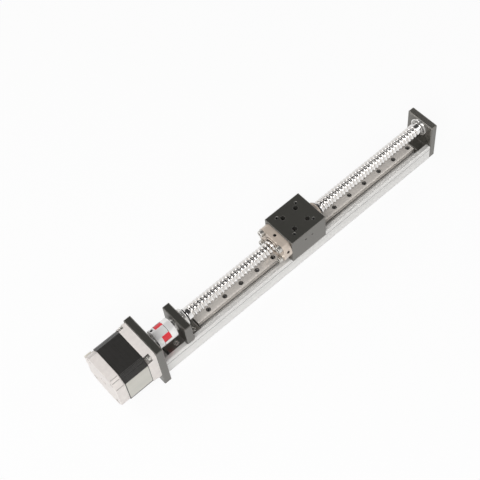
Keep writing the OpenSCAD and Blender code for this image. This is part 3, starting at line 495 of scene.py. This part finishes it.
slotFinish = {
    "clear_anodised": "clearAnodised", "black_anodised": "blackAnodised", "rail_steel": "railSteel",
    "carriage_steel": "carriageSteel", "carriage_plastic": "carriagePlastic", "seal_rubber": "sealRubber",
    "ground_steel": "groundSteel", "bearing_steel": "bearingSteel", "ball_steel": "groundSteel",
    "black_screws": "blackScrews", "zinc_screws": "zincScrews", "nut_steel": "nutSteel",
    "coupling_aluminium": "couplingAluminium", "spider_red": "spiderRed", "motor_cast": "motorCast",
    "lamination_steel": "laminations", "rotor_steel": "rotorSteel", "copper": "copper",
    "connector_plastic": "connectorPlastic",
}
slotOfNode = {row["node"]: row["material_slot"] for row in frame["record"]["subparts"]}
for nodeName, nodeObject in nodes.items():
    for index in range(len(nodeObject.material_slots)):
        nodeObject.material_slots[index].material = finishes[slotFinish[slotOfNode[nodeName]]]
print("materials built:", len(finishes))

# mesh helpers

alongAxis = {  # turns local +Z to the named direction
    "+X": Matrix(((0, 0, 1), (1, 0, 0), (0, 1, 0))).to_4x4(),
    "-X": Matrix(((0, 0, -1), (0, 1, 0), (1, 0, 0))).to_4x4(),
    "+Y": Matrix(((1, 0, 0), (0, 0, 1), (0, -1, 0))).to_4x4(),
    "-Y": Matrix(((1, 0, 0), (0, 0, -1), (0, 1, 0))).to_4x4(),
    "+Z": Matrix.Identity(4),
    "-Z": Matrix(((1, 0, 0), (0, -1, 0), (0, 0, -1))).to_4x4(),
}


def placed(point, direction):
    return Matrix.Translation(Vector(point)) @ alongAxis[direction]


def makeObject(name, bm, finish, body, sharp=32):
    bmesh.ops.recalc_face_normals(bm, faces=bm.faces)
    mesh = bpy.data.meshes.new(name)
    bm.to_mesh(mesh)
    bm.free()
    mesh.materials.append(finishes[finish])
    for polygon in mesh.polygons:
        polygon.use_smooth = True
    mesh.set_sharp_from_angle(angle=math.radians(sharp))
    piece = bpy.data.objects.new(name, mesh)
    bpy.context.collection.objects.link(piece)
    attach(piece, body)
    return piece


def addRings(bm, rings, place):
    # joins rings of equal count with quads and closes both ends with a fan
    made = [[bm.verts.new(place @ Vector(point)) for point in ring] for ring in rings]
    count = len(made[0])
    for first, second in zip(made, made[1:]):
        for i in range(count):
            j = (i + 1) % count
            bm.faces.new((first[i], first[j], second[j], second[i]))
    for ring in (made[0], made[-1]):
        centre = bm.verts.new(sum((v.co for v in ring), Vector()) / count)
        for i in range(count):
            bm.faces.new((centre, ring[i], ring[(i + 1) % count]))


def circleRing(radius, z, count, shape=None):
    ring = []
    for i in range(count):
        a = 2 * math.pi * i / count
        r = radius if shape is None else shape(a, radius, i)
        ring.append((r * math.cos(a), r * math.sin(a), z))
    return ring


def hexagon(a, radius, i):
    # radius is half the size across the flats
    return radius / math.cos((a % (math.pi / 3)) - math.pi / 6)


knurlDepth = 0.10 * mm


def knurl(a, radius, i):
    return radius - (knurlDepth if i % 2 else 0)


def solidsOf(node):
    # the box of each separate solid in a node
    mesh = nodes[node].data
    parent = list(range(len(mesh.vertices)))

    def root(i):
        while parent[i] != i:
            parent[i] = parent[parent[i]]
            i = parent[i]
        return i

    seen = {}
    for i, vertex in enumerate(mesh.vertices):
        key = tuple(round(c * 1e6) for c in vertex.co)
        parent[root(i)] = root(seen.setdefault(key, i))
    for edge in mesh.edges:
        parent[root(edge.vertices[0])] = root(edge.vertices[1])
    boxes = {}
    for i, vertex in enumerate(mesh.vertices):
        low, high = boxes.setdefault(root(i), (vertex.co.copy(), vertex.co.copy()))
        for k in range(3):
            low[k], high[k] = min(low[k], vertex.co[k]), max(high[k], vertex.co[k])
    toFrame = nodes[node].matrix_world
    return [(toFrame @ low, toFrame @ high) for low, high in boxes.values()]


# ball screw

screwLook = {"lead": 5 * mm, "land": 1.8 * mm, "grooveDepth": 1.15 * mm, "rim": 2 * mm, "runOut": 0.375,
             "turnSteps": 48, "groovePoints": 9, "landPoints": 3, "landEdge": 0.08 * mm,
             "leastDepth": 0.05 * mm, "endBevel": 0.6 * mm, "journalRadius": 5 * mm,
             "journalBevel": 0.5 * mm, "journalSteps": 64}


def trackProfile(look):
    # (along one pitch, depth): the flat land, then the round track the balls run in
    half = (look["lead"] - look["land"]) / 2
    depth, breakWidth = look["grooveDepth"], look["landEdge"]
    ballRadius = (half ** 2 + depth ** 2) / (2 * depth)
    points = [(breakWidth, 0.0)]
    points += [(look["land"] * k / look["landPoints"], 0.0) for k in range(1, look["landPoints"])]
    points.append((look["land"] - breakWidth, 0.0))
    for k in range(look["groovePoints"] + 1):
        x = -half * math.cos(math.pi * k / look["groovePoints"])
        points.append((look["land"] + half + x,
                       max(math.sqrt(ballRadius ** 2 - x ** 2) - ballRadius + depth, look["leastDepth"])))
    return points[:-1]


def makeBallScrew(look):
    low, high = boxOf("ball_screw")
    outer = (high.z - low.z) / 2
    start, stop = boxOf("bearing_spacer")[1].x, boxOf("support_bearing_inner")[0].x
    lead, steps, profile = look["lead"], look["turnSteps"], trackProfile(look)
    trackRows = (int((stop - start - 2 * look["rim"]) / lead) - 1) * steps
    fadeRows = look["runOut"] * steps
    bm = bmesh.new()
    rows = []
    for i in range(-2 * steps, trackRows + 3 * steps):
        fade = max(0.0, min(1.0, i / fadeRows, (trackRows - i) / fadeRows))
        a = 2 * math.pi * i / steps
        x = start + look["rim"] + lead * i / steps
        rows.append([bm.verts.new((x + dx, axisY + (outer - depth * fade) * math.cos(a),
                                   axisZ + (outer - depth * fade) * math.sin(a))) for dx, depth in profile])
    for i in range(len(rows) - 1):
        for k in range(len(profile) - 1):
            bm.faces.new((rows[i][k], rows[i][k + 1], rows[i + 1][k + 1], rows[i + 1][k]))
        if i + 1 + steps < len(rows):
            bm.faces.new((rows[i][-1], rows[i + steps][0], rows[i + 1 + steps][0], rows[i + 1][-1]))
    for x, normal in ((start, (-1, 0, 0)), (stop, (1, 0, 0))):
        cut = bmesh.ops.bisect_plane(bm, geom=bm.verts[:] + bm.edges[:] + bm.faces[:], plane_co=(x, 0, 0),
                                     plane_no=normal, clear_outer=True)
        bmesh.ops.edgeloop_fill(bm, edges=[e for e in cut["geom_cut"] if isinstance(e, bmesh.types.BMEdge)])
    for vertex in bm.verts:
        cutBack = look["endBevel"] - min(vertex.co.x - start, stop - vertex.co.x)
        arm = Vector((0, vertex.co.y - axisY, vertex.co.z - axisZ))
        if cutBack > 0 and arm.length > outer - cutBack:
            vertex.co -= arm * (1 - (outer - cutBack) / arm.length)
    place, r, c = placed((0, axisY, axisZ), "+X"), look["journalRadius"], look["journalBevel"]
    for journal in ([(r - c, low.x), (r, low.x + c), (r, start + c)],
                    [(r, stop - c), (r, high.x - c), (r - c, high.x)]):
        addRings(bm, [circleRing(radius, x, look["journalSteps"]) for radius, x in journal], place)
    piece = makeObject("ballScrew", bm, "screwSteel", "screw", sharp=40)
    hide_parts("ball_screw")


makeBallScrew(screwLook)
print("ball screw cut")

# socket screws

screwGroups = {
    # node: thread, head diameter, head height and key in mm, way the head faces, finish, body, slot
    "nut_screws": (5, 8.5, 5, 4, "-X", "zincScrews", "carriage", "zinc_screws"),
    "rail_screws": (3, 5.5, 3, 2.5, "+Z", "railScrews", "base", "black_screws"),
    "bearing_plate_screws": (4, 7, 4, 3, "+Z", "zincScrews", "base", "zinc_screws"),
    "motor_plate_screws": (4, 7, 4, 3, "-X", "blackScrews", "base", "black_screws"),
    "end_plate_screws": (4, 7, 4, 3, "+X", "blackScrews", "base", "black_screws"),
    "motor_mount_bolts": (4, 7, 4, 3, "-X", "zincScrews", "base", "zinc_screws"),
    "motor_through_bolts": (3, 5.5, 3, 2.5, "-X", "zincScrews", "base", "zinc_screws"),
    "carriage_screws": (3, 5.5, 3, 2.5, "+Z", "blackScrews", "carriage", "black_screws"),
}


# pitch, point and root are shares of the thread, mouth of the key, floor and tip of the head's height
socketLook = {"steps": 60, "chamfer": 0.35 * mm, "pitch": 0.18, "point": 0.12, "root": 0.06, "knurlEnd": 1.6,
              "bevelStart": 1.5, "mouth": 1.22, "mouthDepth": 0.15 * mm, "floor": 0.45, "tip": 0.36}


def addSocketScrew(bm, place, thread, headD, headH, key, length, look):
    count, chamfer = look["steps"], look["chamfer"]
    t, r, h = thread * mm / 2, headD * mm / 2, headH * mm
    pitch = look["pitch"] * thread * mm
    rings = [circleRing(t - look["point"] * thread * mm, -length, count)]
    z = -length + pitch
    while z < -pitch:
        rings.append(circleRing(t - look["root"] * thread * mm, z - pitch / 2, count))
        rings.append(circleRing(t, z, count))
        z += pitch
    rings += [circleRing(t, 0, count), circleRing(r - chamfer / 2, 0, count),
              circleRing(r, chamfer / 2, count), circleRing(r, chamfer, count, knurl),
              circleRing(r, h - look["knurlEnd"] * chamfer, count, knurl),
              circleRing(r, h - look["bevelStart"] * chamfer, count), circleRing(r - chamfer, h, count),
              circleRing(key * mm / 2 * look["mouth"], h, count),
              circleRing(key * mm / 2, h - look["mouthDepth"], count, hexagon),
              circleRing(key * mm / 2, h * look["floor"], count, hexagon),
              circleRing(key * mm / 4, h * look["tip"], count)]
    addRings(bm, rings, place)


def makeSocketScrews(node, thread, headD, headH, key, way, finish, body, slot):
    bm = bmesh.new()
    axis = "XYZ".index(way[1])
    for low, high in solidsOf(node):
        seat = (low + high) / 2
        length = high[axis] - low[axis] - headH * mm
        seat[axis] = high[axis] - headH * mm if way[0] == "+" else low[axis] + headH * mm
        addSocketScrew(bm, placed(seat, way), thread, headD, headH, key, length, socketLook)
    piece = makeObject(node.replace("_", "") + "Detailed", bm, finish, body, sharp=28)
    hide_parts(node)


for node, row in screwGroups.items():
    makeSocketScrews(node, *row)
print("socket screws turned")

# threads in the tapped holes

tapList = [
    # all in mm: hole radius, depth, pitch, way out, places from the block's middle (x and y, or x and z)
    (1.65, 10.5, 0.7, "+Z", [(x, y) for x in (-15, 15) for y in (-15, 15)]),
    (1.25, 6.5, 0.5, "-Y", [(-5, 3.55), (5, 3.55)]),
    (1.25, 6.5, 0.5, "+Y", [(-5, 3.55), (5, 3.55)]),
]
# sink is how far below the face the thread starts, crest and foot are the ridge in shares of the pitch
tapLook = {"sink": 0.4 * mm, "steps": 20, "crestHeight": 0.5, "crest": 0.45, "foot": 0.9}


def addThread(bm, place, radius, depth, pitch, look):
    steps = look["steps"]
    ridge = ((0, 0), (look["crestHeight"] * pitch, look["crest"] * pitch), (0, look["foot"] * pitch))
    rows = []
    for i in range(int(depth / pitch * steps)):
        a = 2 * math.pi * i / steps
        z = -depth + pitch * i / steps
        rows.append([bm.verts.new(place @ Vector(((radius - dr) * math.cos(a), (radius - dr) * math.sin(a),
                                                  z + dz))) for dr, dz in ridge])
    for first, second in zip(rows, rows[1:]):
        for k in range(2):
            bm.faces.new((first[k], first[k + 1], second[k + 1], second[k]))


def makeThreads(look):
    bm = bmesh.new()
    low, high = boxOf("slider_block")
    centre = (low + high) / 2
    for radius, depth, pitch, way, places in tapList:
        axis = "XYZ".index(way[1])
        for u, v in places:
            point = centre + (Vector((u, v, 0)) if axis == 2 else Vector((u, 0, v))) * mm
            point[axis] = high[axis] - look["sink"] if way[0] == "+" else low[axis] + look["sink"]
            addThread(bm, placed(point, way), radius * mm, depth * mm, pitch * mm, look)
    makeObject("tappedThreads", bm, "tappedHole", "carriage", sharp=60)


makeThreads(tapLook)
print("threads cut")

# wiper cap on the nut

wiperCapLook = {"inner": 8.45 * mm, "outer": 10.9 * mm, "proud": 1.0 * mm, "sunk": 0.1 * mm,
                "bevel": 0.4 * mm, "steps": 72}


def addTurnedRing(bm, profile, place, steps):
    # profile: closed loop of (along the axis, radius)
    rings = [[bm.verts.new(place @ Vector(point)) for point in circleRing(r, z, steps)] for z, r in profile]
    for first, second in zip(rings, rings[1:] + rings[:1]):
        for i in range(steps):
            j = (i + 1) % steps
            bm.faces.new((first[i], first[j], second[j], second[i]))


def makeWiperCap(look):
    face = boxOf("ball_nut")[0].x
    front, inner, outer, bevel = face - look["proud"], look["inner"], look["outer"], look["bevel"]
    back = face + look["sunk"]
    profile = [(back, inner), (back, outer), (front + bevel, outer), (front, outer - bevel),
               (front, inner + bevel), (front + bevel, inner)]
    bm = bmesh.new()
    addTurnedRing(bm, profile, placed((0, axisY, axisZ), "+X"), look["steps"])
    makeObject("wiperCap", bm, "nutSteel", "carriage")


makeWiperCap(wiperCapLook)
print("wiper cap turned")

# motor trim

labelLook = {"inset": 0.8 * mm, "top": 19.0 * mm, "bottom": -17.5 * mm, "thick": 0.25 * mm,
             "corner": 1.2 * mm}


def addPlate(bm, x0, x1, z0, z1, y0, y1, corner, steps=5):
    # a thin plate with round corners that faces -Y
    outline = []
    for cx, cz, start in ((x1 - corner, z1 - corner, 0), (x0 + corner, z1 - corner, 90),
                          (x0 + corner, z0 + corner, 180), (x1 - corner, z0 + corner, 270)):
        for k in range(steps + 1):
            a = math.radians(start + 90 * k / steps)
            outline.append((cx + corner * math.cos(a), cz + corner * math.sin(a)))
    rims = [[bm.verts.new((x, y, z)) for x, z in outline] for y in (y0, y1)]
    for i in range(len(outline)):
        j = (i + 1) % len(outline)
        bm.faces.new((rims[0][i], rims[0][j], rims[1][j], rims[1][i]))
    for rim in rims:
        bm.faces.new(rim)


def makeMotorLabel(look):
    low, high = boxOf("motor_laminations")
    bm = bmesh.new()
    addPlate(bm, low.x + look["inset"], high.x - look["inset"], axisZ + look["bottom"], axisZ + look["top"],
             low.y - look["thick"], low.y, look["corner"])
    makeObject("motorLabelPlate", bm, "labelSilver", "base")


makeMotorLabel(labelLook)
print("motor trim added")

# floor

# shown is the share of plain white that the camera, mirrors and glass see in place of the paper
floorLook = {"cells": 4, "size": 6, "drop": 0.05 * mm, "paper": (0.86, 0.86, 0.86), "roughness": 0.8,
             "white": 1.0, "shown": 0.92}


def makeFloor(look):
    bm = bmesh.new()
    bmesh.ops.create_grid(bm, x_segments=look["cells"], y_segments=look["cells"], size=look["size"])
    mesh = bpy.data.meshes.new("floor")
    bm.to_mesh(mesh)
    bm.free()
    floor = bpy.data.objects.new("floor", mesh)
    bpy.context.collection.objects.link(floor)
    floor.location.z = -look["drop"]
    material = bpy.data.materials.new("whitePaper")
    material.use_nodes = True
    g = Graph(material.node_tree)
    paper = g.add("ShaderNodeBsdfPrincipled")
    paper.inputs["Base Color"].default_value = (*look["paper"], 1)
    paper.inputs["Roughness"].default_value = look["roughness"]
    glow = g.add("ShaderNodeEmission")
    glow.inputs["Strength"].default_value = look["white"]
    path = g.add("ShaderNodeLightPath")
    seen = g.math("MAXIMUM", path.outputs["Is Camera Ray"], path.outputs["Is Glossy Ray"])
    seen = g.math("MAXIMUM", seen, path.outputs["Is Transmission Ray"])
    blend = g.add("ShaderNodeMixShader")
    output = g.add("ShaderNodeOutputMaterial")
    g.join(g.math("MULTIPLY", seen, look["shown"]), blend.inputs[0])
    g.join(paper.outputs[0], blend.inputs[1])
    g.join(glow.outputs[0], blend.inputs[2])
    g.join(blend.outputs[0], output.inputs[0])
    mesh.materials.append(material)


makeFloor(floorLook)
print("floor laid")
